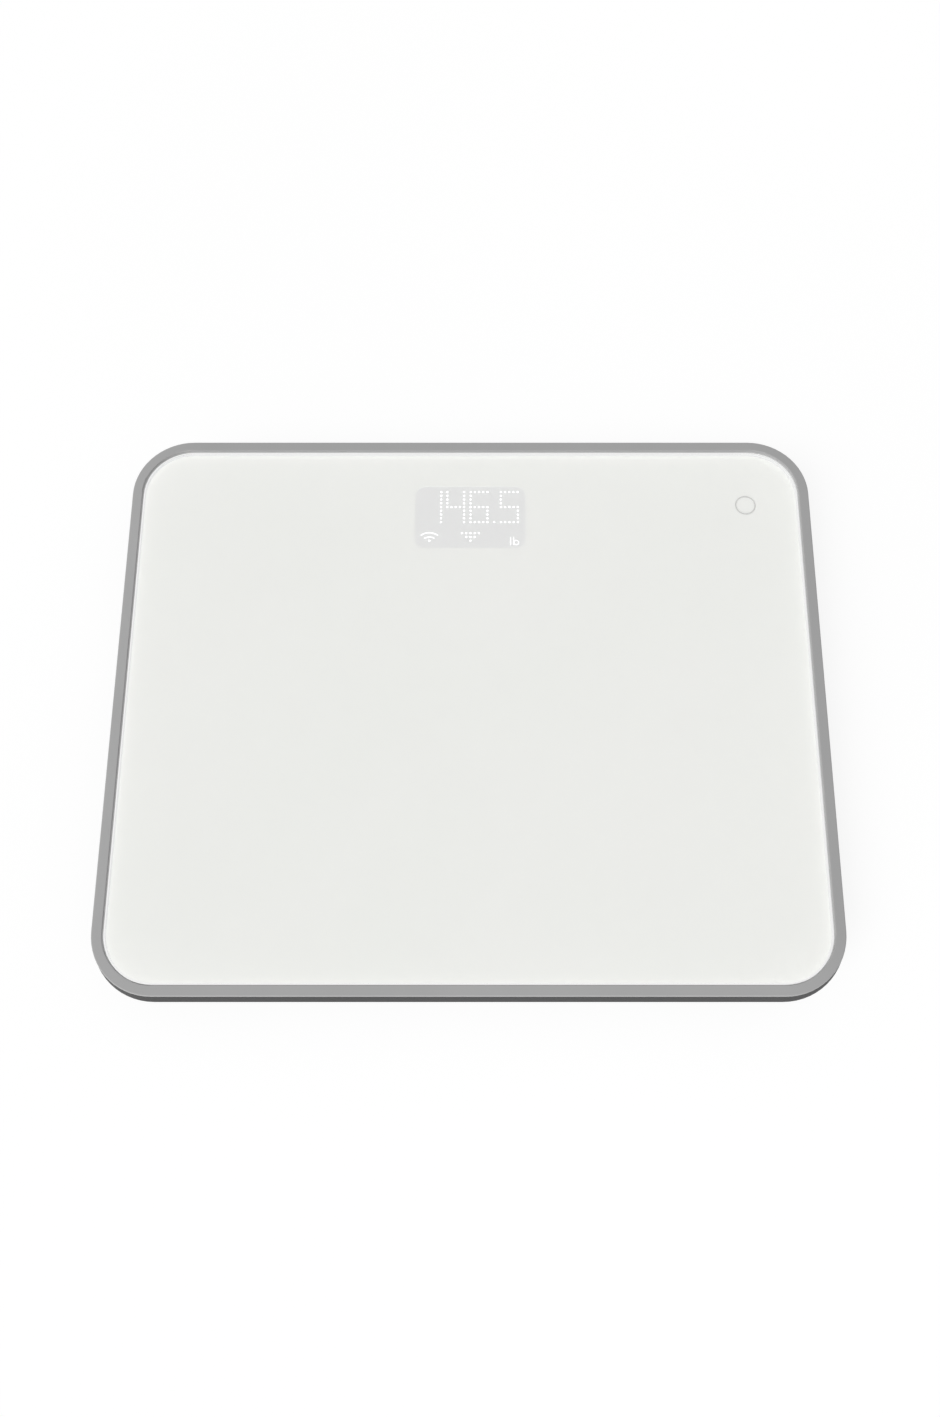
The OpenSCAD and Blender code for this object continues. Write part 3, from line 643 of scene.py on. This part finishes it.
# Both marks lie on the print. The ring is counted from the rim's far right corner.
PRINT_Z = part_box("glass_print")[1].z
RIM_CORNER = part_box("frame")[1]
INK_H = 0.012 * MM
RING_IN_X, RING_IN_Y = 29.7 * MM, 32.2 * MM
RING_R = 4.6 * MM
RING_W = 0.9 * MM
CENTRE_DOT_R = 0.8 * MM


def ring_mesh(name, centre, radius, width, z, height):
    """A closed flat ring with chamfered edges."""
    bm = bmesh.new()
    steps = 64
    half = width / 2
    chamfer = height / 2
    section = ((-half, 0), (-half, chamfer), (-half + chamfer, height),
               (half - chamfer, height), (half, chamfer), (half, 0))
    loops = []
    for k in range(steps):
        a = 2 * math.pi * k / steps
        loops.append([bm.verts.new((centre[0] + (radius + r) * math.cos(a),
                                    centre[1] + (radius + r) * math.sin(a), z + h))
                      for r, h in section])
    for k, loop in enumerate(loops):
        after = loops[(k + 1) % steps]
        for i in range(len(section)):
            j = (i + 1) % len(section)
            bm.faces.new((loop[i], after[i], after[j], loop[j]))
    return from_bmesh(name, bm)


def corner_ring():
    """A plain ring at the far right corner."""
    centre = (RIM_CORNER.x - RING_IN_X, RIM_CORNER.y - RING_IN_Y)
    mesh = ring_mesh("corner_ring", centre, RING_R, RING_W, PRINT_Z, INK_H)
    new_piece("corner_ring", mesh, "mark_grey")


def centre_dot():
    """A tiny pale dot in the middle of the platform."""
    bm = bmesh.new()
    add_dome(bm, 0.0, 0.0, PRINT_Z, CENTRE_DOT_R, INK_H)
    new_piece("centre_dot", from_bmesh("centre_dot", bm), "mark_pale")


corner_ring()
centre_dot()


# ------------------------------------------------------------------ studio

def floor():
    """A wide floor just under the feet."""
    half_size = 6.0
    mesh = bpy.data.meshes.new("floor")
    bm = bmesh.new()
    bmesh.ops.create_grid(bm, x_segments=8, y_segments=8, size=half_size)
    bm.to_mesh(mesh)
    bm.free()
    piece = add_object("floor", mesh, "floor")
    piece.location.z = CAD_BOX[0].z - 0.1 * MM


def backdrop():
    """A wall all round that curves up out of the floor. Only the camera sees it, so it adds no
    light."""
    bend, reach, top = 1.5, 5.8, 6.0
    bend_steps, turn_steps = 10, 96
    low = CAD_BOX[0].z
    section = [(reach - bend + bend * math.sin(a), low + bend * (1 - math.cos(a)))
               for a in (math.pi / 2 * k / bend_steps for k in range(bend_steps + 1))]
    section.append((reach, low + top))
    mesh = bpy.data.meshes.new("backdrop")
    bm = bmesh.new()
    loops = [[bm.verts.new((r * math.cos(a), r * math.sin(a), z)) for r, z in section]
             for a in (2 * math.pi * k / turn_steps for k in range(turn_steps))]
    for k, loop in enumerate(loops):
        after = loops[(k + 1) % turn_steps]
        for i in range(len(section) - 1):
            bm.faces.new((loop[i], loop[i + 1], after[i + 1], after[i])).smooth = True
    bm.to_mesh(mesh)
    bm.free()
    piece = add_object("backdrop", mesh, "backdrop")
    for ray in ("diffuse", "glossy", "transmission", "shadow"):
        setattr(piece, f"visible_{ray}", False)


def key_light(azimuth, elevation, strength):
    """Soft light from the left and the near side. It isn't mirrored in the glass or bent by it."""
    softness = 35.0
    data = bpy.data.lights.new("key", "SUN")
    data.angle = math.radians(softness)
    data.energy = strength
    lamp = bpy.data.objects.new("key", data)
    lamp.rotation_euler = (math.radians(90.0 - elevation), 0.0, math.radians(azimuth))
    lamp.visible_glossy = False
    lamp.visible_transmission = False
    bpy.context.scene.collection.objects.link(lamp)


def world(level):
    """Even white light from all round."""
    w = bpy.data.worlds.new("studio")
    w.use_nodes = True
    back = w.node_tree.nodes["Background"]
    back.inputs["Color"].default_value = WHITE
    back.inputs["Strength"].default_value = level
    bpy.context.scene.world = w


def camera():
    """Over the near edge, looking down and towards the display end."""
    place = (7.59 * MM, -221.6 * MM, RIM_CORNER.z + 598.2 * MM)
    tilt = 19.962
    data = bpy.data.cameras.new("camera")
    data.sensor_width = 36.0
    data.lens = 36.115
    data.shift_x = -0.01172
    data.clip_start = 0.01
    cam = bpy.data.objects.new("camera", data)
    cam.location = place
    cam.rotation_euler = (math.radians(tilt), 0.0, 0.0)
    bpy.context.scene.collection.objects.link(cam)
    bpy.context.scene.camera = cam


floor()
backdrop()
key_light(azimuth=-52.0, elevation=37.0, strength=1.86)
world(level=0.42)
camera()
bpy.context.scene.view_settings.view_transform = "Standard"
